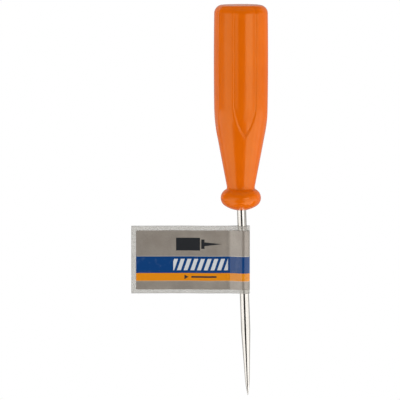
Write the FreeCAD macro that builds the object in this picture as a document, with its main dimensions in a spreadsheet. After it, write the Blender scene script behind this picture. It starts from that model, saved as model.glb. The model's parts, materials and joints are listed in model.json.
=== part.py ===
"""Bookbinding awl: a moulded handle, a polished steel shank and a folded swing tag.

The frame is in millimetres with +Z up along the handle. The origin is the centre of the
collar's underside, where the shank leaves the handle, and the shank's point is down. The
tag stands out towards -X, and -Y is the side that carries the tag's front print.
"""
import FreeCAD
import Part
import math
import os
import re

import Sketcher

doc = FreeCAD.newDocument("bookbinding_awl")

# ---------------------------------------------------------------- driving dimensions

DRIVING = [
    # handle, measured up from the collar's underside
    ("handle_length", 73.5, "collar underside to butt face"),
    ("grip_diameter", 19.9, "over the raised lands, at both ends of the grip"),
    ("grip_bulge", 0.12, "how far the middle of the grip stands out past its ends"),
    ("grip_start", 34.5, "height where the neck's cone reaches the grip"),
    ("shoulder_round", 32.0, "rounding between the neck's cone and the grip"),
    ("butt_round", 1.6, "rounding of the butt's edge"),
    ("neck_diameter", 10.0, "narrowest place, just above the collar"),
    ("neck_straight", 0.5, "above the crease, before the neck starts to widen"),
    ("collar_diameter", 14.4, "flattened ball at the foot of the handle"),
    ("collar_height", 9.1, "full height of that flattened ball"),
    ("collar_side", 3.4, "radius of the ball's outline at its widest"),
    ("crease_round", 0.5, "rounding of the crease between collar and neck"),
    # shallow panels, sunk into the grip and run out through the butt
    ("panel_count", 4, "panels round the grip"),
    ("panel_turn", 9.0, "degrees from -Y to the first panel's middle, towards +X"),
    ("panel_width", 9.4, "across one panel"),
    ("panel_depth", 0.38, "below the lands"),
    ("panel_drop", 8.5, "pointed foot of a panel, below grip_start"),
    ("panel_arch", 13.5, "height of that pointed arch"),
    # shank, measured along the rod
    ("shank_diameter", 3.3, "polished rod"),
    ("shank_reach", 66.7, "collar underside to point"),
    ("taper_length", 23.7, "from where the rod starts to narrow, to its end"),
    ("point_length", 7.2, "curved point at the end of the taper"),
    ("point_diameter", 1.8, "rod where the point starts"),
    ("point_curve", 46.0, "radius of the point's outline"),
    ("tip_diameter", 0.16, "blunt end of the point"),
    ("shank_lean", 2.0, "degrees that the rod leans from the handle's axis, tip towards +X"),
    ("lean_height", 8.0, "height where the rod's axis crosses the handle's axis"),
    ("tang_length", 30.0, "rod moulded into the handle, from lean_height up"),
    ("tang_chamfer", 0.4, "on the tang's upper end"),
    ("wing_span", 6.0, "across the pinched wings that stop the tang turning"),
    ("wing_height", 5.0, "along the tang"),
    ("wing_width", 1.2, "thickness of a wing"),
    ("wing_base", 10.0, "from lean_height up to the foot of the wings"),
    # swing tag: a printed strip between two clear films, folded round the rod
    ("tag_drop", 5.5, "collar underside to the tag's top edge"),
    ("tag_height", 24.3, "along the handle's axis"),
    ("tag_reach", 40.2, "loop's centre to the tag's free edge"),
    ("print_ply", 0.10, "thickness of the printed strip"),
    ("film_ply", 0.05, "thickness of each clear film"),
    ("glue_line", 0.06, "between the two halves of the folded strip"),
    ("loop_clearance", 0.12, "rod to the inside of the loop, where they come closest"),
    ("parting", 6.0, "loop's centre to the line where the two halves part"),
    ("parting_bend", 4.0, "radius of the outer film's bend at that line"),
    ("margin_top", 1.7, "clear film above the print"),
    ("margin_foot", 1.4, "clear film below the print"),
    ("margin_side", 1.7, "clear film beyond the print at the free edge"),
]

# Sizes that follow from the driving ones.
DERIVED = [
    ("grip_radius", "grip_diameter / 2", "grip at its ends"),
    ("neck_radius", "neck_diameter / 2", "neck at its narrowest"),
    ("collar_radius", "collar_diameter / 2", "flattened ball"),
    ("collar_half", "collar_height / 2", "height of its widest place"),
    ("crown_gain", "collar_radius ^ 2 - 2 * collar_radius * collar_side + collar_half ^ 2", "step"),
    ("crown_radius", "crown_gain / (2 * (collar_half - collar_side))", "ball's top and bottom"),
    ("crown_share", "crown_radius / (crown_radius - collar_side)", "where side and crown meet"),
    ("crown_out", "(collar_radius - collar_side) * crown_share", "that place, from the axis"),
    ("crown_rise", "crown_radius - (crown_radius - collar_half) * crown_share", "and its height"),
    ("crown_sink", "crown_radius - collar_height", "upper crown's centre, below the underside"),
    ("crease_out", "neck_radius + crease_round", "crease rounding's centre, from the axis"),
    ("crease_away", "crown_radius + crease_round", "that centre to the crown's centre"),
    ("crease_rise", "sqrt(crease_away ^ 2 - crease_out ^ 2)", "the same, upwards only"),
    ("crease_share", "crown_radius / crease_away", "where crown and crease meet"),
    ("neck_height", "crease_rise - crown_sink + neck_straight", "where the neck starts to widen"),
    ("rod_radius", "shank_diameter / 2", "polished rod"),
    ("rod_end", "lean_height + shank_reach", "from lean_height down to the point"),
    ("panel_half", "panel_width / 2", "panel's middle to its side"),
    ("panel_foot", "grip_start - panel_drop", "height of the pointed foot of a panel"),
    ("panel_spring", "panel_foot + panel_arch", "height where the arch meets the sides"),
    ("arch_radius", "(panel_half ^ 2 + panel_arch ^ 2) / panel_width", "sides of the arch"),
    ("neck_angle", "atan((grip_radius - neck_radius) / (grip_start - neck_height))", "neck's cone"),
    ("shoulder_run", "shoulder_round * tan(neck_angle / 2)", "length that the rounding takes up"),
    ("shoulder_in", "shoulder_run * sin(neck_angle)", "rounding's lower end, inside the grip"),
    ("shoulder_foot", "grip_start - shoulder_run * cos(neck_angle)", "rounding's lower end"),
    ("shoulder_top", "grip_start + shoulder_run", "rounding's upper end"),
    ("butt_start", "handle_length - butt_round", "height where the butt's rounding starts"),
    ("grip_length", "butt_start - shoulder_top", "straight part of the grip"),
    ("bulge_radius", "(grip_length ^ 2 / 4 + grip_bulge ^ 2) / (2 * grip_bulge)", "grip's side"),
    ("tag_ply", "print_ply + 2 * film_ply", "laminated strip"),
    ("tag_half", "tag_ply + glue_line / 2", "half the thickness of the folded tag"),
    ("tag_foot", "-tag_drop - tag_height", "height of the tag's lower edge"),
    ("tag_foot_out", "(lean_height - tag_foot) * tan(shank_lean * 1deg)", "rod's place there"),
    ("lean_sweep", "tag_height * tan(shank_lean * 1deg)", "rod's sideways run within the tag"),
    # A third of the sweep clears the rod at the tag's top, for ramps of up to 30 degrees.
    ("loop_bore", "rod_radius + loop_clearance + lean_sweep / 3", "loop's inner radius"),
    ("loop_outer", "loop_bore + tag_ply", "loop's outer radius"),
    ("loop_middle", "tag_foot_out + rod_radius + loop_clearance - loop_bore", "its place on X"),
    ("bend_height", "tag_half + parting_bend", "centre of the parting bend, from mid-tag"),
    ("bend_away", "sqrt(parting ^ 2 + bend_height ^ 2)", "bend's centre to the loop's"),
    ("ramp_rise", "asin((parting_bend + loop_outer) / bend_away)", "ramp to centre line"),
    ("ramp_angle", "ramp_rise - atan(bend_height / parting)", "ramp up to the loop"),
]

sheet = doc.addObject("Spreadsheet::Sheet", "dims")
for row, (alias, content, note) in enumerate(DRIVING + DERIVED, start=1):
    formula = "=" + content if isinstance(content, str) else str(content)
    sheet.set("A%d" % row, alias)
    sheet.set("B%d" % row, formula)
    sheet.set("C%d" % row, note)
    sheet.setAlias("B%d" % row, alias)
doc.recompute()

ALIASES = [alias for alias, _, _ in DRIVING + DERIVED]
ALIAS_WORDS = re.compile(r"\b(" + "|".join(ALIASES) + r")\b")


def size(expression):
    """The number that an expression over the sheet's aliases stands for."""
    value = sheet.evalExpression(expression)
    return float(getattr(value, "Value", value))


def tie(item, prop, expression):
    """Bind one property of an object to an expression over the sheet's aliases."""
    item.setExpression(prop, ALIAS_WORDS.sub(r"dims.\1", expression))


# ---------------------------------------------------------------- sketch helpers

START = 1
END = 2
ORIGIN = -1
H_AXIS = -1
V_AXIS = -2


def new_body(name):
    return doc.addObject("PartDesign::Body", name)


def body_sketch(body, name, role):
    """A new sketch on one of the body's own origin planes."""
    sketch = body.newObject("Sketcher::SketchObject", name)
    plane = next(item for item in body.Origin.OriginFeatures if item.Role == role)
    sketch.AttachmentSupport = (plane, [""])
    sketch.MapMode = "FlatFace"
    return sketch


def bind(sketch, rule, expression):
    """Add a dimension to a sketch and tie it to the sheet."""
    index = sketch.addConstraint(rule)
    name = "size_%d" % index
    sketch.renameConstraint(index, name)
    tie(sketch, "Constraints." + name, expression)


def pin(sketch, geometry, end, place):
    """Hold one end of a side at a place, which is two expressions."""
    for kind, axis, expression in (("X", V_AXIS, place[0]), ("Y", H_AXIS, place[1])):
        if expression == "0":
            sketch.addConstraint(Sketcher.Constraint("PointOnObject", geometry, end, axis))
        else:
            rule = Sketcher.Constraint("Distance" + kind, ORIGIN, 1, geometry, end, size(expression))
            bind(sketch, rule, expression)


def arc_between(start, end, radius):
    """The short anticlockwise arc from start to end."""
    chord = end.sub(start)
    left = FreeCAD.Vector(-chord.y, chord.x, 0).normalize()
    reach = math.sqrt(radius ** 2 - (chord.Length / 2) ** 2)
    centre = start.add(end).multiply(0.5).add(left.multiply(reach))
    circle = Part.Circle(centre, FreeCAD.Vector(0, 0, 1), radius)
    return Part.ArcOfCircle(circle, circle.parameter(start), circle.parameter(end))


def outline(sketch, corners):
    """Draw a closed outline, walked anticlockwise.

    A corner is (across, up), (across, up, "out", radius) or (across, up, "in", radius), all
    expressions. The last two start a side that is an arc, bulging outwards or inwards.
    """
    count = len(corners)
    points = [FreeCAD.Vector(size(corner[0]), size(corner[1]), 0) for corner in corners]
    ends = []
    for index, corner in enumerate(corners):
        start = points[index]
        end = points[(index + 1) % count]
        bulge = corner[2] if len(corner) > 2 else "straight"
        if bulge == "straight":
            side = Part.LineSegment(start, end)
        elif bulge == "out":
            side = arc_between(start, end, size(corner[3]))
        else:
            side = arc_between(end, start, size(corner[3]))
        sketch.addGeometry(side, False)
        ends.append((END, START) if bulge == "in" else (START, END))
    for index, corner in enumerate(corners):
        after = (index + 1) % count
        joint = Sketcher.Constraint("Coincident", index, ends[index][1], after, ends[after][0])
        sketch.addConstraint(joint)
        pin(sketch, index, ends[index][0], corner[:2])
        if len(corner) > 2:
            bind(sketch, Sketcher.Constraint("Radius", index, size(corner[3])), corner[3])


def revolve(body, name, corners):
    """Turn an outline in the body's XZ plane through a full circle about its Z axis."""
    sketch = body_sketch(body, name + "_outline", "XZ_Plane")
    outline(sketch, corners)
    feature = body.newObject("PartDesign::Revolution", name)
    feature.Profile = sketch
    feature.ReferenceAxis = (sketch, ["V_Axis"])
    feature.Angle = 360
    doc.recompute()


def boolean(kind, name, base, tool):
    """Part::Cut or Part::Common of two objects."""
    feature = doc.addObject("Part::" + kind, name)
    feature.Base = base
    feature.Tool = tool
    return feature


# ---------------------------------------------------------------- handle

COLLAR = [
    ("0", "0", "out", "crown_radius"),
    ("crown_out", "crown_rise", "out", "collar_side"),
    ("crown_out", "collar_height - crown_rise", "out", "crown_radius"),
    ("crease_out * crease_share", "crease_rise * crease_share - crown_sink", "in", "crease_round"),
    ("neck_radius", "crease_rise - crown_sink"),
]


def grip(sunk):
    """Outline of the neck and grip, sunk below the lands by an expression."""
    return [
        ("neck_radius - " + sunk, "neck_height"),
        ("grip_radius - shoulder_in - " + sunk, "shoulder_foot", "out", "shoulder_round"),
        ("grip_radius - " + sunk, "shoulder_top", "out", "bulge_radius"),
        ("grip_radius - " + sunk, "butt_start", "out", "butt_round"),
        ("grip_radius - butt_round - " + sunk, "handle_length"),
        ("0", "handle_length"),
    ]


def turned_body(name, corners):
    body = new_body(name)
    revolve(body, name + "_turned", corners)
    return body


def panel_prisms():
    """Upright prisms with a pointed foot, one for each panel, from the axis outwards."""
    body = new_body("panel_prisms")
    sketch = body_sketch(body, "panel_outline", "XZ_Plane")
    outline(sketch, [
        ("0", "panel_foot", "out", "arch_radius"),
        ("panel_half", "panel_spring"),
        ("panel_half", "handle_length + butt_round"),
        ("-panel_half", "handle_length + butt_round"),
        ("-panel_half", "panel_spring", "out", "arch_radius"),
    ])
    pad = body.newObject("PartDesign::Pad", "first_panel")
    pad.Profile = sketch
    tie(pad, "Length", "grip_diameter")
    doc.recompute()
    pattern = body.newObject("PartDesign::PolarPattern", "panels_round_the_grip")
    pattern.Originals = [pad]
    pattern.Axis = (sketch, ["V_Axis"])
    pattern.Angle = 360
    tie(pattern, "Occurrences", "panel_count")
    body.Tip = pattern
    body.Placement = FreeCAD.Placement(FreeCAD.Vector(), FreeCAD.Rotation(FreeCAD.Vector(0, 0, 1), 1))
    tie(body, ".Placement.Rotation.Angle", "panel_turn")
    doc.recompute()
    return body


def make_handle(shank):
    blank = turned_body("blank", COLLAR + grip("0"))
    floor = turned_body("panel_floor", [("0", "neck_height")] + grip("panel_depth"))
    recesses = boolean("Cut", "panel_recesses", panel_prisms(), floor)
    panelled = boolean("Cut", "panelled_handle", blank, recesses)
    return boolean("Cut", "handle", panelled, shank)


# ---------------------------------------------------------------- shank

def make_shank():
    """The rod, its point and its tang, drawn along its own axis from lean_height."""
    body = new_body("shank")
    revolve(body, "rod", [
        ("0", "-rod_end"),
        ("tip_diameter / 2", "-rod_end", "out", "point_curve"),
        ("point_diameter / 2", "point_length - rod_end"),
        ("rod_radius", "taper_length - rod_end"),
        ("rod_radius", "tang_length - tang_chamfer"),
        ("rod_radius - tang_chamfer", "tang_length"),
        ("0", "tang_length"),
    ])
    sketch = body_sketch(body, "wing_outline", "XZ_Plane")
    outline(sketch, [
        ("-wing_span / 2", "wing_base"),
        ("wing_span / 2", "wing_base"),
        ("wing_span / 2", "wing_base + wing_height"),
        ("-wing_span / 2", "wing_base + wing_height"),
    ])
    wings = body.newObject("PartDesign::Pad", "wings")
    wings.Profile = sketch
    wings.Midplane = True
    tie(wings, "Length", "wing_width")
    body.Tip = wings
    lean = FreeCAD.Rotation(FreeCAD.Vector(0, -1, 0), 1)
    body.Placement = FreeCAD.Placement(FreeCAD.Vector(), lean)
    tie(body, ".Placement.Base.z", "lean_height")
    tie(body, ".Placement.Rotation.Angle", "shank_lean")
    doc.recompute()
    return body


# ---------------------------------------------------------------- swing tag

def tag_prism(name, inset):
    """The folded tag's plan, drawn in from its outer face by an expression, full height."""
    half = "(tag_half - %s)" % inset
    loop = "(loop_outer - %s)" % inset
    bend = "(parting_bend + %s)" % inset
    ramp_foot = ("%s * sin(ramp_angle) - parting" % bend, "(bend_height - %s * cos(ramp_angle))" % bend)
    ramp_head = ("-%s * sin(ramp_angle)" % loop, "%s * cos(ramp_angle)" % loop)
    sketch = doc.addObject("Sketcher::SketchObject", name + "_plan")
    outline(sketch, [
        ("-tag_reach", "-" + half),
        ("-parting", "-" + half, "in", bend),
        (ramp_foot[0], "-" + ramp_foot[1]),
        (ramp_head[0], "-" + ramp_head[1], "out", loop),
        (loop, "0", "out", loop),
        ramp_head,
        (ramp_foot[0], ramp_foot[1], "in", bend),
        ("-parting", half),
        ("-tag_reach", half),
    ])
    tie(sketch, ".Placement.Base.x", "loop_middle")
    tie(sketch, ".Placement.Base.z", "tag_foot")
    prism = doc.addObject("Part::Extrusion", name)
    prism.Base = sketch
    prism.DirMode = "Normal"
    prism.Solid = True
    tie(prism, "LengthFwd", "tag_height")
    return prism


def tag_window(name, left, foot, height):
    """A box from a place on X, past the loop, and wider than the tag is thick."""
    box = doc.addObject("Part::Box", name)
    tie(box, ".Placement.Base.x", "loop_middle - " + left)
    tie(box, ".Placement.Base.y", "-2 * loop_outer")
    tie(box, ".Placement.Base.z", "tag_foot + " + foot)
    tie(box, "Length", left + " + 2 * loop_outer")
    tie(box, "Width", "4 * loop_outer")
    tie(box, "Height", height)
    return box


def make_tag():
    """The print between an outer and an inner film, which meet in the margins."""
    outer = tag_prism("outer_face", "0")
    print_face = tag_prism("print_face", "film_ply")
    print_back = tag_prism("print_back", "(film_ply + print_ply)")
    inside = tag_prism("inner_face", "tag_ply")
    print_area = tag_window("print_area", "(tag_reach - margin_side)", "margin_foot",
                            "tag_height - margin_foot - margin_top")
    loop_area = tag_window("loop_area", "parting", "0", "tag_height")
    full_print = boolean("Cut", "full_print", print_face, print_back)
    loop_space = boolean("Common", "loop_space", inside, loop_area)
    tag_print = boolean("Common", "tag_print", full_print, print_area)
    outer_film = boolean("Cut", "tag_outer_film", outer, print_face)
    behind_outer = boolean("Cut", "behind_outer_film", print_face, tag_print)
    inner_film = boolean("Cut", "tag_inner_film", behind_outer, loop_space)
    doc.recompute()
    return [outer_film, tag_print, inner_film]


# ---------------------------------------------------------------- build, check and write

shank = make_shank()
handle = make_handle(shank)
NODES = [handle, shank] + make_tag()
doc.recompute()

for item in doc.Objects:
    if "Invalid" in item.State or "Error" in item.State:
        raise RuntimeError("%s failed to build: %s" % (item.Name, item.State))
for node in NODES:
    node.Label = node.Name
    if node.Shape.isNull() or not node.Shape.isValid() or len(node.Shape.Solids) != 1:
        raise RuntimeError("%s is not one valid solid" % node.Label)

# A cut that misses leaves its base whole, so each one has to take something away.
for cut in doc.Objects:
    if cut.TypeId == "Part::Cut" and cut.Base.Shape.Volume - cut.Shape.Volume < 1e-3:
        raise RuntimeError("%s cuts nothing" % cut.Name)

os.makedirs("parts", exist_ok=True)
for node in NODES:
    node.Shape.exportStep("parts/%s.step" % node.Label)
    box = node.Shape.BoundBox
    print("%-16s %9.2f mm3  x %7.2f %7.2f  y %6.2f %6.2f  z %7.2f %7.2f" % (
        node.Label, node.Shape.Volume, box.XMin, box.XMax, box.YMin, box.YMax, box.ZMin, box.ZMax))
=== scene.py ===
"""Looks of the bookbinding awl: moulded handle, polished steel shank and laminated swing tag.

Everything is in metres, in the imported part's frame: +Z up along the handle, the shank's point
down, and the tag out towards -X with its front print facing -Y.
"""
import json
import math

import bmesh
import bpy
from mathutils import Matrix, Vector


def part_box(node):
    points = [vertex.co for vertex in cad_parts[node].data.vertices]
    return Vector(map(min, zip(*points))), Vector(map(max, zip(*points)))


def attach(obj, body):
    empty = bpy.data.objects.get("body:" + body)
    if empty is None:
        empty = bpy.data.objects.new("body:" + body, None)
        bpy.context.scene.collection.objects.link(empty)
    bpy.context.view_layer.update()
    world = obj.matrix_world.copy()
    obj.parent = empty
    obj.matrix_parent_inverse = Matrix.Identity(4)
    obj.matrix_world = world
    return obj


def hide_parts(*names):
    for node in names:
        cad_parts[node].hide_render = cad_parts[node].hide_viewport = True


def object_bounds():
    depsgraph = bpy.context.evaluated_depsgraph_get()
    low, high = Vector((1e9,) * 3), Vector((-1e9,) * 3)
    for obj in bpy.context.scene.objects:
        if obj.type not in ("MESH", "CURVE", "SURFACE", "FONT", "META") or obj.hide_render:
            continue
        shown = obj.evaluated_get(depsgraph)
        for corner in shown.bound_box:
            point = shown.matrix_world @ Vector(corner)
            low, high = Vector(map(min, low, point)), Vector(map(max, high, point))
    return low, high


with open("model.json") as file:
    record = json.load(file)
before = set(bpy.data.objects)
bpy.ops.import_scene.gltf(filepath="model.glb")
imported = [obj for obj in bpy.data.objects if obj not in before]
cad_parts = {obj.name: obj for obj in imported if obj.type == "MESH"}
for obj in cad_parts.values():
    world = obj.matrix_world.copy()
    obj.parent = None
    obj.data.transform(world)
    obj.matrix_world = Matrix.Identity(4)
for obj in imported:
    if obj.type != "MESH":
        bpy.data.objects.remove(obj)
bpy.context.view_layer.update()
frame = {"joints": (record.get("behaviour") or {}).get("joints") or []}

JOINT = frame["joints"][0]
HANDLE_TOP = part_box("handle")[1].z
SHANK_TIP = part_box("shank")[0].z
TAG_LOW, TAG_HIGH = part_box("tag_outer_film")

# ---------------------------------------------------------------- sizes

# These are the CAD model's, with two exceptions: BUTT_ROUND, which is 0.0016 there, and
# PANEL_WALL, the width over which a panel's edge slopes, which it doesn't have.

GRIP_RADIUS = 0.00995
GRIP_BULGE = 0.00012
NECK_RADIUS = 0.0050
NECK_HEIGHT = 0.008586
NECK_ANGLE = math.radians(10.81)
SHOULDER_ROUND = 0.032
SHOULDER_TOP = 0.03753
BUTT_ROUND = 0.0030
COLLAR_HEIGHT = 0.0091
COLLAR_SIDE = 0.0034
CROWN_RADIUS = 0.01025
CROWN_OUT = 0.005686
CROWN_RISE = 0.00172
CREASE_ROUND = 0.0005
CREASE_FOOT = (0.005244, 0.007656)
CREASE_TOP = 0.008086

PANEL_COUNT = 4
PANEL_TURN = math.radians(9.0)
PANEL_HALF = 0.0047
PANEL_DEPTH = 0.00038
PANEL_FOOT = 0.0260
PANEL_SPRING = 0.0395
ARCH_RADIUS = (PANEL_HALF ** 2 + (PANEL_SPRING - PANEL_FOOT) ** 2) / (2 * PANEL_HALF)
PANEL_WALL = 0.0009

ROD_RADIUS = 0.00165
ROD_AXIS = Vector(JOINT["axis"]).normalized()
ROD_CENTRE = Vector(JOINT["pos_m"])
TAPER_LENGTH = 0.0237
POINT_LENGTH = 0.0072
POINT_RADIUS = 0.0009
POINT_CURVE = 0.046
TIP_RADIUS = 0.00008
TANG_LENGTH = 0.030
TANG_CHAMFER = 0.0004
WING_SPAN = 0.0060
WING_HEIGHT = 0.0050
WING_WIDTH = 0.0012
WING_BASE = 0.010

PRINT_PLY = 0.00010
FILM_PLY = 0.00005
TAG_PLY = PRINT_PLY + 2 * FILM_PLY
HALF_GLUE = 0.00003
TAG_HALF = TAG_PLY + HALF_GLUE
TAG_HEIGHT = TAG_HIGH.z - TAG_LOW.z
LOOP_OUTER = TAG_HIGH.y
LOOP_MIDDLE = TAG_HIGH.x - LOOP_OUTER
TAG_REACH = LOOP_MIDDLE - TAG_LOW.x
PARTING = 0.0060
PARTING_BEND = 0.0040
MARGIN_TOP = 0.0017
MARGIN_FOOT = 0.0014
MARGIN_SIDE = 0.0017

# Edges sharper than this stay sharp in shading.
SOFT_EDGE = math.radians(50)
SOFT_ROD_EDGE = math.radians(35)


# ---------------------------------------------------------------- mesh helpers

def arc(start, end, radius, steps, side=1):
    """Points after start, up to end, on an arc with its centre to the left, or right for side -1."""
    a, b = Vector(start), Vector(end)
    chord = b - a
    left = Vector((-chord.y, chord.x)).normalized() * side
    centre = (a + b) / 2 + left * math.sqrt(radius ** 2 - chord.length_squared / 4)
    first = math.atan2(a.y - centre.y, a.x - centre.x)
    turn = 2 * math.asin(chord.length / 2 / radius) * side
    angles = [first + turn * i / steps for i in range(1, steps + 1)]
    return [(centre.x + radius * math.cos(t), centre.y + radius * math.sin(t)) for t in angles]


def spread(low, high, step):
    """Evenly spaced numbers from low up to but not including high, about a step apart."""
    count = max(1, round((high - low) / step))
    return [low + (high - low) * i / count for i in range(count)]


def ease(share):
    """Smooth step from 0 to 1."""
    share = min(1.0, max(0.0, share))
    return share * share * (3 - 2 * share)


def mesh_object(name, points, faces):
    mesh = bpy.data.meshes.new(name)
    mesh.from_pydata(points, [], faces)
    mesh.validate()
    mesh.shade_smooth()
    piece = bpy.data.objects.new(name, mesh)
    bpy.context.scene.collection.objects.link(piece)
    return piece


def ringed(name, foot, rings, head):
    """A closed mesh from a foot point, equal rings of points and a head point."""
    count = len(rings[0])
    points = [foot] + [p for ring in rings for p in ring] + [head]
    last = len(points) - 1
    faces = []
    for j in range(count):
        k = (j + 1) % count
        faces.append((0, 1 + k, 1 + j))
        for i in range(len(rings) - 1):
            low, high = 1 + i * count, 1 + (i + 1) * count
            faces.append((low + j, low + k, high + k, high + j))
        top = 1 + (len(rings) - 1) * count
        faces.append((top + j, top + k, last))
    return mesh_object(name, points, faces)


def combine(piece, tool, operation):
    """Boolean of two meshes, kept in the first; the second is left as it is."""
    step = piece.modifiers.new("combine", "BOOLEAN")
    step.object = tool
    step.operation = operation
    step.solver = "EXACT"
    shape = piece.evaluated_get(bpy.context.evaluated_depsgraph_get())
    mesh = bpy.data.meshes.new_from_object(shape)
    piece.modifiers.clear()
    piece.data = mesh
    mesh.name = piece.name


# ---------------------------------------------------------------- handle

def land_radius(z):
    """Radius of the neck and grip over the lands, at a height."""
    if z < SHOULDER_TOP - SHOULDER_ROUND * math.sin(NECK_ANGLE):
        return NECK_RADIUS + (z - NECK_HEIGHT) * math.tan(NECK_ANGLE)
    if z < SHOULDER_TOP:
        return GRIP_RADIUS - SHOULDER_ROUND + math.sqrt(SHOULDER_ROUND ** 2 - (SHOULDER_TOP - z) ** 2)
    share = (z - SHOULDER_TOP) / (HANDLE_TOP - BUTT_ROUND - SHOULDER_TOP)
    return GRIP_RADIUS + GRIP_BULGE * 4 * share * (1 - share)


def arch_half(z):
    """Half the panel's width at a height."""
    if z >= PANEL_SPRING:
        return PANEL_HALF
    if z <= PANEL_FOOT:
        return 0.0
    return math.sqrt(ARCH_RADIUS ** 2 - (PANEL_SPRING - z) ** 2) - ARCH_RADIUS + PANEL_HALF


def panel_sink(across, z):
    """How far the surface lies below the lands, at a distance across from a panel's middle."""
    if z >= PANEL_SPRING:
        inside = PANEL_HALF - abs(across)
    else:
        inside = ARCH_RADIUS - math.hypot(abs(across) + ARCH_RADIUS - PANEL_HALF, PANEL_SPRING - z)
    return PANEL_DEPTH * ease(inside / PANEL_WALL)


FLOOR_COLUMNS = 14
WALL_COLUMNS = 5
LAND_COLUMNS = 8
NARROWEST = 0.0020
CLOSE_RINGS = 0.0004
BUTT_STEPS = 18
BUTT_FACE_SHARES = (0.985, 0.94, 0.8, 0.55, 0.25)


def column_angle(index, z):
    """Angle from a panel's middle to a column of the mesh; columns bunch up at the panel's wall."""
    z = max(z, PANEL_FOOT)
    radius = land_radius(min(z, HANDLE_TOP - BUTT_ROUND))
    edge = max(arch_half(z), NARROWEST)
    inner = math.asin((edge - PANEL_WALL) / radius)
    outer = math.asin(edge / radius)
    limit = math.pi / PANEL_COUNT
    column = abs(index)
    if column <= FLOOR_COLUMNS:
        angle = inner * column / FLOOR_COLUMNS
    elif column <= FLOOR_COLUMNS + WALL_COLUMNS:
        angle = inner + (outer - inner) * (column - FLOOR_COLUMNS) / WALL_COLUMNS
    else:
        angle = outer + (limit - outer) * (column - FLOOR_COLUMNS - WALL_COLUMNS) / LAND_COLUMNS
    return math.copysign(angle, index)


def handle_ring(radius, z, sunk=True):
    """One ring of the handle's skin, with its panels sunk where they reach that height."""
    half = FLOOR_COLUMNS + WALL_COLUMNS + LAND_COLUMNS
    ring = []
    for panel in range(PANEL_COUNT):
        middle = PANEL_TURN + panel * 2 * math.pi / PANEL_COUNT
        for index in range(-half, half):
            angle = column_angle(index, z)
            reach = radius
            if sunk and z > PANEL_FOOT:
                wall_radius = land_radius(min(z, HANDLE_TOP - BUTT_ROUND))
                reach -= panel_sink(wall_radius * math.sin(angle), z)
            turn = middle + angle
            ring.append((reach * math.sin(turn), -reach * math.cos(turn), z))
    return ring


def collar_outline():
    """Radius and height of each ring from the underside's middle up to the neck."""
    side_foot = (CROWN_OUT, CROWN_RISE)
    side_head = (CROWN_OUT, COLLAR_HEIGHT - CROWN_RISE)
    outline = arc((0, 0), side_foot, CROWN_RADIUS, 14)
    outline += arc(side_foot, side_head, COLLAR_SIDE, 26)
    outline += arc(side_head, CREASE_FOOT, CROWN_RADIUS, 3)
    outline += arc(CREASE_FOOT, (NECK_RADIUS, CREASE_TOP), CREASE_ROUND, 6, -1)
    return outline


def make_handle():
    """The collar, the neck, the grip with its panels, the rounded edge and the flat butt."""
    rings = [handle_ring(r, z, False) for r, z in collar_outline()]
    butt_start = HANDLE_TOP - BUTT_ROUND
    heights = spread(NECK_HEIGHT, PANEL_FOOT - CLOSE_RINGS, 0.0006)
    heights += spread(PANEL_FOOT - CLOSE_RINGS, PANEL_SPRING + CLOSE_RINGS, 0.00016)
    heights += spread(PANEL_SPRING + CLOSE_RINGS, butt_start, 0.0009)
    rings += [handle_ring(land_radius(z), z) for z in heights]
    for step in range(BUTT_STEPS + 1):
        angle = math.radians(90) * step / BUTT_STEPS
        radius = GRIP_RADIUS - BUTT_ROUND * (1 - math.cos(angle))
        rings.append(handle_ring(radius, butt_start + BUTT_ROUND * math.sin(angle)))
    rim = rings[-1]
    for share in BUTT_FACE_SHARES:
        rings.append([(x * share, y * share, z) for x, y, z in rim])
    return ringed("moulded_handle", (0, 0, 0), rings, (0, 0, HANDLE_TOP))


# ---------------------------------------------------------------- shank

ROD_COLUMNS = 96
TAPER_STEPS = 24
WING_EDGE = 0.0002


def rod_frame():
    """Places a mesh drawn about +Z, with its zero where the rod crosses the handle's axis."""
    lean = Vector((0, 0, 1)).rotation_difference(ROD_AXIS)
    return Matrix.Translation(ROD_CENTRE) @ lean.to_matrix().to_4x4()


def make_shank():
    """The point, the taper, the straight rod and the tang, with the wings joined on."""
    # The tip's lowest point is the near rim of its blunt end, which leans a little too.
    end = -(ROD_CENTRE.z - SHANK_TIP) / ROD_AXIS.z
    outline = [(TIP_RADIUS * 0.5, end), (TIP_RADIUS, end)]
    outline += arc((TIP_RADIUS, end), (POINT_RADIUS, end + POINT_LENGTH), POINT_CURVE, 26)
    outline += [(POINT_RADIUS + (ROD_RADIUS - POINT_RADIUS) * i / TAPER_STEPS,
                 end + POINT_LENGTH + (TAPER_LENGTH - POINT_LENGTH) * i / TAPER_STEPS)
                for i in range(1, TAPER_STEPS + 1)]
    chamfer_foot = TANG_LENGTH - TANG_CHAMFER
    outline += [(ROD_RADIUS, z) for z in spread(end + TAPER_LENGTH + 0.0006, chamfer_foot, 0.002)]
    outline += [(ROD_RADIUS, chamfer_foot), (ROD_RADIUS - TANG_CHAMFER, TANG_LENGTH)]
    outline += [(ROD_RADIUS / 2, TANG_LENGTH)]
    turns = [2 * math.pi * i / ROD_COLUMNS for i in range(ROD_COLUMNS)]
    rings = [[(r * math.sin(t), -r * math.cos(t), z) for t in turns] for r, z in outline]
    rod = ringed("steel_shank", (0, 0, end), rings, (0, 0, TANG_LENGTH))
    wings = make_wings()
    combine(rod, wings, "UNION")
    bpy.data.objects.remove(wings)
    rod.data.transform(rod_frame())
    rod.data.set_sharp_from_angle(angle=SOFT_ROD_EDGE)
    return rod


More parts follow.
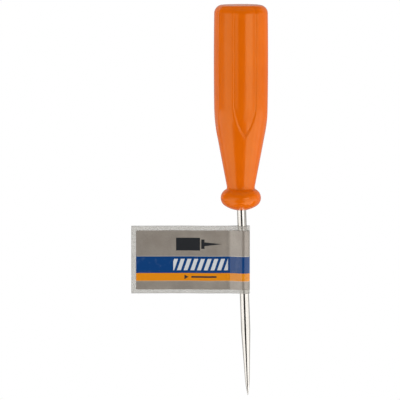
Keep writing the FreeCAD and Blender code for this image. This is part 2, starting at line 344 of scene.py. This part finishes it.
def make_wings():
    """The pinched wings on the tang, as one softened block through the rod."""
    block = bmesh.new()
    bmesh.ops.create_cube(block, size=1.0)
    size = Vector((WING_SPAN, WING_WIDTH, WING_HEIGHT))
    for vert in block.verts:
        scaled = Vector(a * b for a, b in zip(vert.co, size))
        vert.co = scaled + Vector((0, 0, WING_BASE + WING_HEIGHT / 2))
    bmesh.ops.bevel(block, geom=block.edges[:], offset=WING_EDGE, segments=2, affect="EDGES")
    mesh = bpy.data.meshes.new("wings")
    block.to_mesh(mesh)
    block.free()
    wings = bpy.data.objects.new("wings", mesh)
    bpy.context.scene.collection.objects.link(wings)
    return wings


# ---------------------------------------------------------------- swing tag

# The laminate isn't flat: its slope towards +Y, away from the front, at distances from the
# free edge.
WAVE = [
    (0.0000, 0.010), (0.0100, 0.030), (0.0198, 0.024), (0.0210, -0.120), (0.0240, -0.110),
    (0.0265, -0.090), (0.0280, 0.060), (0.0330, 0.060), (0.0345, 0.000),
]
SLICE = 0.0005


def wave(along):
    """Shift towards +Y that the slopes add up to, at a distance from the free edge."""
    shift = 0.0
    for (a, slope_a), (b, slope_b) in zip(WAVE, WAVE[1:]):
        run = min(max(along - a, 0.0), b - a)
        reached = slope_a + (slope_b - slope_a) * run / (b - a)
        shift += run * (slope_a + reached) / 2
    return shift


WAVE_END = wave(WAVE[-1][0])


def half_plan(start):
    """Outer face of the front half in plan, as (place, outward normal) about the loop's centre."""
    bend_height = TAG_HALF + PARTING_BEND
    away = math.hypot(PARTING, bend_height)
    ramp = math.asin((PARTING_BEND + LOOP_OUTER) / away) - math.atan2(bend_height, PARTING)
    flat = spread(start - TAG_REACH, -PARTING, SLICE)
    plan = [(Vector((x, -TAG_HALF)), Vector((0, -1))) for x in flat]
    for turn in spread(0, ramp, ramp / 8):
        out = Vector((math.sin(turn), math.cos(turn)))
        plan.append((Vector((-PARTING, -bend_height)) + out * PARTING_BEND, -out))
    out = Vector((math.sin(ramp), math.cos(ramp)))
    foot = Vector((-PARTING, -bend_height)) + out * PARTING_BEND
    head = -out * LOOP_OUTER
    plan += [(foot.lerp(head, i / 6), -out) for i in range(6)]
    first = -math.pi / 2 - ramp
    for angle in spread(first, 0, math.radians(5)):
        out = Vector((math.cos(angle), math.sin(angle)))
        plan.append((out * LOOP_OUTER, out))
    return plan


def full_plan(start):
    """The front half, the fold round the rod and the mirrored back half."""
    front = half_plan(start)
    flip = Matrix(((1, 0), (0, -1)))
    fold = (Vector((LOOP_OUTER, 0)), Vector((1, 0)))
    return front + [fold] + [(flip @ place, flip @ out) for place, out in reversed(front)]


def folded_sheet(name, start, inner, outer, foot, top):
    """A closed thin sheet, folded round the rod: between two depths below the tag's outer face.

    Its UV map is the unfolded sheet, in metres from the front's free edge and from the tag's foot.
    """
    plan = full_plan(start)
    level = [TAG_LOW.z + z for z in spread(foot, top, 0.001)] + [TAG_LOW.z + top]
    along = [start]
    for (a, na), (b, nb) in zip(plan, plan[1:]):
        middle = (b - nb * TAG_PLY / 2) - (a - na * TAG_PLY / 2)
        along.append(along[-1] + middle.length)
    rows = len(level)
    points, flat = [], []
    for depth in (outer, inner):
        for (place, out), u in zip(plan, along):
            at = place - out * depth
            from_edge = at.x + TAG_REACH
            shift = wave(from_edge) - WAVE_END * ease(from_edge / WAVE[-1][0])
            for z in level:
                points.append((LOOP_MIDDLE + at.x, at.y + shift, z))
                flat.append((u, z - TAG_LOW.z))
    count = len(plan)
    back = count * rows
    faces = []
    for i in range(count - 1):
        for j in range(rows - 1):
            a = i * rows + j
            faces.append((a, a + rows, a + rows + 1, a + 1))
            faces.append((back + a, back + a + 1, back + a + rows + 1, back + a + rows))
        foot_a, top_a = i * rows, i * rows + rows - 1
        faces.append((foot_a, back + foot_a, back + foot_a + rows, foot_a + rows))
        faces.append((top_a, top_a + rows, back + top_a + rows, back + top_a))
    for j in range(rows - 1):
        end = (count - 1) * rows + j
        faces.append((j, j + 1, back + j + 1, back + j))
        faces.append((end, back + end, back + end + 1, end + 1))
    piece = mesh_object(name, points, faces)
    layer = piece.data.uv_layers.new(name="unfolded")
    for loop in piece.data.loops:
        layer.data[loop.index].uv = flat[loop.vertex_index]
    piece.data.set_sharp_from_angle(angle=SOFT_EDGE)
    return piece, along[-1]


# ---------------------------------------------------------------- material helpers

class Nodes:
    """A new node material, with short calls for the nodes that the materials share."""

    def __init__(self, name):
        self.material = bpy.data.materials.new(name)
        self.material.use_nodes = True
        self.tree = self.material.node_tree
        self.tree.nodes.clear()
        self.output = self.add("ShaderNodeOutputMaterial")

    def add(self, kind, **settings):
        node = self.tree.nodes.new(kind)
        for key, value in settings.items():
            setattr(node, key, value)
        return node

    def link(self, source, target):
        self.tree.links.new(source, target)

    def feed(self, socket, value):
        """Link an output, or set a plain value."""
        if isinstance(value, bpy.types.NodeSocket):
            self.link(value, socket)
        else:
            socket.default_value = value

    def math(self, operation, a, b=0.0, c=0.0):
        node = self.add("ShaderNodeMath", operation=operation)
        for socket, value in zip(node.inputs, (a, b, c)):
            self.feed(socket, value)
        return node.outputs[0]

    def spans(self, value, low, high):
        """1 where a value lies between two numbers."""
        return self.math("COMPARE", value, (low + high) / 2, (high - low) / 2)

    def both(self, a, b):
        return self.math("MULTIPLY", a, b)

    def either(self, a, b):
        return self.math("MAXIMUM", a, b)

    def mix(self, share, a, b):
        node = self.add("ShaderNodeMix", data_type="RGBA")
        self.feed(node.inputs["Factor"], share)
        self.feed(node.inputs[6], a)
        self.feed(node.inputs[7], b)
        return node.outputs[2]

    def noise(self, place, scale, detail=2.0, stretch=(1, 1, 1)):
        """Noise from about 0 to 1; the scale is features per metre."""
        mapping = self.add("ShaderNodeMapping")
        self.link(place, mapping.inputs["Vector"])
        mapping.inputs["Scale"].default_value = stretch
        node = self.add("ShaderNodeTexNoise")
        self.link(mapping.outputs[0], node.inputs["Vector"])
        node.inputs["Scale"].default_value = scale
        node.inputs["Detail"].default_value = detail
        return node.outputs["Fac"]

    def rescale(self, value, low, high, from_low=0.3, from_high=0.7):
        """A value's usual run, from_low to from_high, taken to low to high."""
        node = self.add("ShaderNodeMapRange")
        self.link(value, node.inputs["Value"])
        run = (("From Min", from_low), ("From Max", from_high), ("To Min", low), ("To Max", high))
        for name, number in run:
            node.inputs[name].default_value = number
        return node.outputs[0]

    def bump(self, height, distance, strength=1.0, normal=None):
        node = self.add("ShaderNodeBump")
        self.link(height, node.inputs["Height"])
        node.inputs["Distance"].default_value = distance
        node.inputs["Strength"].default_value = strength
        if normal is not None:
            self.link(normal, node.inputs["Normal"])
        return node.outputs[0]

    def surface(self, **values):
        """A Principled shader to the output, its sockets named with underscores for spaces."""
        shader = self.add("ShaderNodeBsdfPrincipled")
        for key, value in values.items():
            self.feed(shader.inputs[key.replace("_", " ")], value)
        self.link(shader.outputs[0], self.output.inputs["Surface"])
        return shader

    def object_place(self):
        return self.add("ShaderNodeTexCoord").outputs["Object"]

    def unfolded(self):
        """Distances along the unfolded tag and up from its foot, in metres."""
        parts = self.add("ShaderNodeSeparateXYZ")
        self.link(self.add("ShaderNodeUVMap", uv_map="unfolded").outputs[0], parts.inputs[0])
        return parts.outputs[0], parts.outputs[1]


# ---------------------------------------------------------------- materials

MOULDED_DARK = (0.74, 0.128, 0.0012, 1)
MOULDED_LIGHT = (0.79, 0.144, 0.0018, 1)
MOULDED_GLINT = (1.0, 0.88, 0.42, 1)
STEEL_DARK = (0.78, 0.745, 0.69, 1)
STEEL_LIGHT = (0.84, 0.80, 0.745, 1)


def moulded_orange():
    """Glossy moulded plastic: slight unevenness of colour, faint flow marks and orange peel."""
    n = Nodes("moulded_orange")
    place = n.object_place()
    cloud = n.noise(place, 90, 3)
    flow = n.noise(place, 260, 2, (1, 1, 0.18))
    colour = n.mix(n.rescale(cloud, 0, 1), MOULDED_DARK, MOULDED_LIGHT)
    peel = n.bump(n.noise(place, 900, 2), 0.000010, 0.6)
    normal = n.bump(flow, 0.00003, 0.5, peel)
    roughness = n.rescale(n.noise(place, 500, 4), 0.13, 0.21)
    n.surface(Base_Color=colour, Roughness=roughness, Normal=normal, IOR=1.5, Specular_Tint=MOULDED_GLINT)
    return n.material


def polished_steel():
    """Polished, plated steel with fine drawing lines along the rod."""
    n = Nodes("polished_steel")
    place = n.object_place()
    lines = n.noise(place, 3200, 2, (1, 1, 0.02))
    cloud = n.noise(place, 240, 3)
    colour = n.mix(n.rescale(cloud, 0, 1), STEEL_DARK, STEEL_LIGHT)
    roughness = n.rescale(lines, 0.09, 0.15)
    n.surface(Base_Color=colour, Metallic=1.0, Roughness=roughness, Normal=n.bump(lines, 0.0000005, 0.3))
    return n.material


SILVER_DARK = (0.350, 0.306, 0.262, 1)
SILVER_LIGHT = (0.445, 0.394, 0.340, 1)
BLUE = (0.003, 0.047, 0.185, 1)
ORANGE = (0.74, 0.255, 0.006, 1)
INK = (0.030, 0.032, 0.036, 1)
PALE = (0.62, 0.64, 0.66, 1)
HAIRLINE = (0.60, 0.56, 0.48, 1)
SILVER_DOT = (0.20, 0.19, 0.17, 1)
SMUDGE = (0.30, 0.36, 0.45, 1)
FILM = (0.56, 0.54, 0.49, 1)
# Painted shade for the film's cut edges: a darker colour, and the width of that band round the sheet.
PAINTED_RIM_SHADE = (0.30, 0.29, 0.27, 1)
SHADED_RIM_WIDTH = 0.00009

# Heights above the tag's foot.
BAND_FOOT = 0.0045
BAND_SPLIT = 0.0073
BAND_TOP = 0.0133


def printed_strip(length):
    """Silver stock with fine dots, a blue and an orange band, and plain marks instead of words."""
    n = Nodes("printed_strip")
    u, v = n.unfolded()
    place = n.object_place()
    cloud = n.noise(place, 130, 3)
    dots = n.noise(place, 4200, 1)
    silver = n.mix(n.rescale(cloud, 0, 1), SILVER_DARK, SILVER_LIGHT)
    silver = n.mix(n.rescale(dots, 0.0, 0.35, 0.45, 0.75), silver, SILVER_DOT)
    smudge = n.rescale(n.noise(place, 420, 3), 0.0, 0.10, 0.55, 0.75)
    blue = n.mix(smudge, BLUE, SMUDGE)
    colour = n.mix(n.spans(v, BAND_SPLIT, BAND_TOP), silver, blue)
    colour = n.mix(n.spans(v, BAND_FOOT, BAND_SPLIT), colour, ORANGE)
    hairlines = n.either(n.spans(v, BAND_TOP, BAND_TOP + 0.00018),
                         n.spans(v, BAND_FOOT - 0.00015, BAND_FOOT))
    colour = n.mix(hairlines, colour, HAIRLINE)
    colour = n.mix(awl_pictogram(n, u, v), colour, INK)
    colour = n.mix(pale_stripes(n, u, v), colour, PALE)
    colour = n.mix(pointer(n, u, v), colour, INK)
    colour = n.mix(back_panel(n, u, v, length), colour, PALE)
    colour = n.mix(back_rules(n, u, v, length), colour, INK)
    inked = n.spans(v, BAND_FOOT, BAND_TOP)
    metallic = n.math("MULTIPLY_ADD", inked, -0.45, 0.45)
    n.surface(Base_Color=colour, Metallic=metallic, Roughness=0.42, Specular_IOR_Level=0.1,
              Coat_Weight=1.0, Coat_Roughness=0.06, Coat_IOR=1.5, Normal=n.bump(dots, 0.000004, 0.5))
    return n.material


def box_mark(n, u, v, left, right, foot, top):
    """1 inside a rectangle on the unfolded tag."""
    return n.both(n.spans(u, left, right), n.spans(v, foot, top))


def awl_pictogram(n, u, v):
    """A plain drawing of an awl lying on its side: grip, collar and point."""
    middle = 0.0177
    grip = box_mark(n, u, v, 0.0160, 0.0246, middle - 0.0023, middle + 0.0023)
    collar = box_mark(n, u, v, 0.0250, 0.0262, middle - 0.0017, middle + 0.0017)
    off = n.math("ABSOLUTE", n.math("SUBTRACT", v, middle))
    slope = n.math("MULTIPLY_ADD", u, -0.11, 0.0325 * 0.11)
    spike = n.both(n.math("LESS_THAN", off, slope), n.spans(u, 0.0262, 0.0325))
    return n.either(n.either(grip, collar), spike)


def pale_stripes(n, u, v):
    """A row of slanting pale stripes on the blue band."""
    shift = n.math("SUBTRACT", n.math("MULTIPLY_ADD", v, -0.35, u), 0.0110)
    cell = n.math("MODULO", shift, 0.0024)
    row = box_mark(n, u, v, 0.0150, 0.0346, 0.0083, 0.0124)
    return n.both(row, n.spans(cell, 0.0, 0.0014))


def pointer(n, u, v):
    """A small pointer and a thin bar on the orange band."""
    middle = (BAND_FOOT + BAND_SPLIT) / 2
    off = n.math("ABSOLUTE", n.math("SUBTRACT", v, middle))
    slope = n.math("MULTIPLY_ADD", u, -0.55, 0.0205 * 0.55)
    arrow = n.both(n.math("LESS_THAN", off, slope), n.spans(u, 0.0190, 0.0205))
    bar = box_mark(n, u, v, 0.0215, 0.0305, middle - 0.0003, middle + 0.0003)
    return n.either(arrow, bar)


def back_panel(n, u, v, length):
    """A pale blank panel on the back half's silver."""
    return box_mark(n, u, v, length - 0.0340, length - 0.0050, 0.0147, 0.0212)


def back_rules(n, u, v, length):
    """Thin ruled lines on that panel."""
    shift = n.math("SUBTRACT", v, 0.0155)
    row = n.spans(n.math("MODULO", shift, 0.0011), 0.0, 0.00018)
    return n.both(row, box_mark(n, u, v, length - 0.0320, length - 0.0120, 0.0155, 0.0206))


def clear_film(length):
    """Glossy laminating film: almost invisible over the print, milky in the sealed margins, with painted
    shade in a thin band round its cut edge.
    """
    n = Nodes("clear_film")
    u, v = n.unfolded()
    over_print = box_mark(n, u, v, MARGIN_SIDE, length - MARGIN_SIDE, MARGIN_FOOT,
                          TAG_HEIGHT - MARGIN_TOP)
    inside = box_mark(n, u, v, SHADED_RIM_WIDTH, length - SHADED_RIM_WIDTH, SHADED_RIM_WIDTH, TAG_HEIGHT - SHADED_RIM_WIDTH)
    haze = n.rescale(n.noise(n.object_place(), 300, 2), 0.28, 0.31)
    alpha = n.both(n.math("SUBTRACT", 1.0, over_print), haze)
    # Painted shade: a thin, darker and more opaque band round the sheet's cut edge.
    edge = n.math("SUBTRACT", 1.0, inside)
    alpha = n.math("MAXIMUM", alpha, n.math("MULTIPLY", edge, 0.55))
    colour = n.mix(edge, FILM, PAINTED_RIM_SHADE)
    n.surface(Base_Color=colour, Roughness=0.12, Alpha=alpha, IOR=1.5)
    return n.material


# ---------------------------------------------------------------- the pieces

shank = make_shank()
handle = make_handle()
combine(handle, shank, "DIFFERENCE")
handle.data.set_sharp_from_angle(angle=SOFT_EDGE)
tag_print, strip_end = folded_sheet("tag_printed_strip", MARGIN_SIDE, FILM_PLY + PRINT_PLY, FILM_PLY,
                                    MARGIN_FOOT, TAG_HEIGHT - MARGIN_TOP)
strip_length = strip_end + MARGIN_SIDE
tag_film, film_end = folded_sheet("tag_clear_film", 0.0, TAG_PLY, 0.0, 0.0, TAG_HEIGHT)

PIECES = [
    (handle, "awl", "handle", ["handle"], moulded_orange()),
    (shank, "awl", "shank", ["shank"], polished_steel()),
    (tag_print, "tag", "print", ["tag_print"], printed_strip(strip_length)),
    (tag_film, "tag", "film", ["tag_outer_film", "tag_inner_film"], clear_film(film_end)),
]
for piece, body, slot, nodes, material in PIECES:
    piece.data.materials.clear()
    piece.data.materials.append(material)
    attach(piece, body)
    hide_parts(*nodes)

# ---------------------------------------------------------------- floor, light and camera

low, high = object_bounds()
middle = (low + high) / 2
FLOOR_RADIUS = 40
FLOOR_GAP = 0.0002


def make_floor():
    """A plain pale floor at the shank's tip, which only the camera sees."""
    bpy.ops.mesh.primitive_circle_add(vertices=64, radius=FLOOR_RADIUS, fill_type="NGON",
                                      location=(0, 0, low.z - FLOOR_GAP))
    floor = bpy.context.object
    floor.name = "floor"
    n = Nodes("pale_floor")
    glow = n.add("ShaderNodeEmission")
    n.link(glow.outputs[0], n.output.inputs["Surface"])
    floor.data.materials.append(n.material)
    floor.visible_glossy = False
    floor.visible_diffuse = False
    floor.visible_shadow = False
    floor.visible_transmission = False


def make_world():
    """White for the camera, and nearly black for everything that the softboxes light."""
    world = bpy.data.worlds.new("studio")
    bpy.context.scene.world = world
    world.use_nodes = True
    tree = world.node_tree
    tree.nodes.clear()
    output = tree.nodes.new("ShaderNodeOutputWorld")
    seen = tree.nodes.new("ShaderNodeBackground")
    seen.inputs["Color"].default_value = (1, 1, 1, 1)
    rest = tree.nodes.new("ShaderNodeBackground")
    rest.inputs["Color"].default_value = (0.02, 0.02, 0.02, 1)
    path = tree.nodes.new("ShaderNodeLightPath")
    mix = tree.nodes.new("ShaderNodeMixShader")
    tree.links.new(path.outputs["Is Camera Ray"], mix.inputs[0])
    tree.links.new(rest.outputs[0], mix.inputs[1])
    tree.links.new(seen.outputs[0], mix.inputs[2])
    tree.links.new(mix.outputs[0], output.inputs[0])


LIGHT_AWAY = 0.9

# Five brightness levels, as radiance: the main light, the side opposite, the low boxes,
# the faint boxes at the back, and the wide soft light.
KEY = 2.0
SIDE = 1.0
LOW = 1.2
FAINT = 0.4
WIDE = 1.4

# Softboxes round the object: name, azimuth from -Y towards +X and elevation of the two edges
# in degrees, and radiance.
SOFTBOXES = [
    ("right_upper", 20, 50, -5, 14, KEY),
    ("right_upper_far", 50, 100, -5, 14, FAINT),
    ("left_upper", -72, -12, -5, 14, SIDE),
    ("right_lower", 14, 66, -22, -5, LOW),
    ("right_lower_far", 66, 104, -22, -5, LOW),
    ("left_lower", -72, -30, -22, -5, LOW),
    ("left_lower_far", -112, -72, -22, -5, SIDE),
    ("right_deep", 30, 78, -65, -22, KEY),
    ("left_deep", -80, -41, -65, -22, WIDE),
    ("back_right", 104, 150, -40, 40, FAINT),
    ("back_left", -150, -120, -40, 40, FAINT),
    ("behind", 150, 210, -40, 40, FAINT),
]

# Wide lights that only light the matt side of a surface: name, azimuth, elevation, width, radiance.
FILLS = [
    ("overhead", 0, 90, 80, WIDE),
    ("underneath", 0, -90, 80, FAINT),
    ("fill_left", -75, 0, 60, WIDE),
    ("fill_right", 75, 0, 60, WIDE),
]


def softbox(name, azimuth, elevation, width, height, radiance):
    """A rectangular light facing the object's middle; the angles are in degrees."""
    a, e = math.radians(azimuth), math.radians(elevation)
    out = Vector((math.sin(a) * math.cos(e), -math.cos(a) * math.cos(e), math.sin(e)))
    data = bpy.data.lights.new(name, "AREA")
    data.shape = "RECTANGLE"
    data.size = 2 * LIGHT_AWAY * math.tan(math.radians(width / 2))
    data.size_y = 2 * LIGHT_AWAY * math.tan(math.radians(height / 2))
    data.energy = radiance * math.pi * data.size * data.size_y
    light = bpy.data.objects.new(name, data)
    bpy.context.scene.collection.objects.link(light)
    light.location = middle + out * LIGHT_AWAY
    light.rotation_mode = "QUATERNION"
    light.rotation_quaternion = out.to_track_quat("Z", "Y")
    light.visible_camera = False
    return light


def make_lights():
    """The softboxes, and the fills, which reflections don't show."""
    for name, left, right, foot, top, radiance in SOFTBOXES:
        softbox(name, (left + right) / 2, (foot + top) / 2, right - left, top - foot, radiance)
    for name, azimuth, elevation, width, radiance in FILLS:
        light = softbox(name, azimuth, elevation, width, width, radiance)
        light.visible_glossy = False


CAMERA_AWAY = 1.600
CAMERA_RISE = 0.1537
CAMERA_LENS = 404.8
AIM_SHIFT = Vector((0.00015, 0, 0.00033))


def make_camera():
    """The camera looks a little down at the object's middle."""
    data = bpy.data.cameras.new("camera")
    data.sensor_width = 36.0
    data.lens = CAMERA_LENS
    camera = bpy.data.objects.new("camera", data)
    bpy.context.scene.collection.objects.link(camera)
    aim = middle + AIM_SHIFT
    camera.location = aim + Vector((0, -CAMERA_AWAY, CAMERA_RISE))
    camera.rotation_euler = (aim - camera.location).to_track_quat("-Z", "Y").to_euler()
    bpy.context.scene.camera = camera


make_floor()
make_world()
make_lights()
make_camera()
bpy.context.scene.view_settings.view_transform = "Standard"
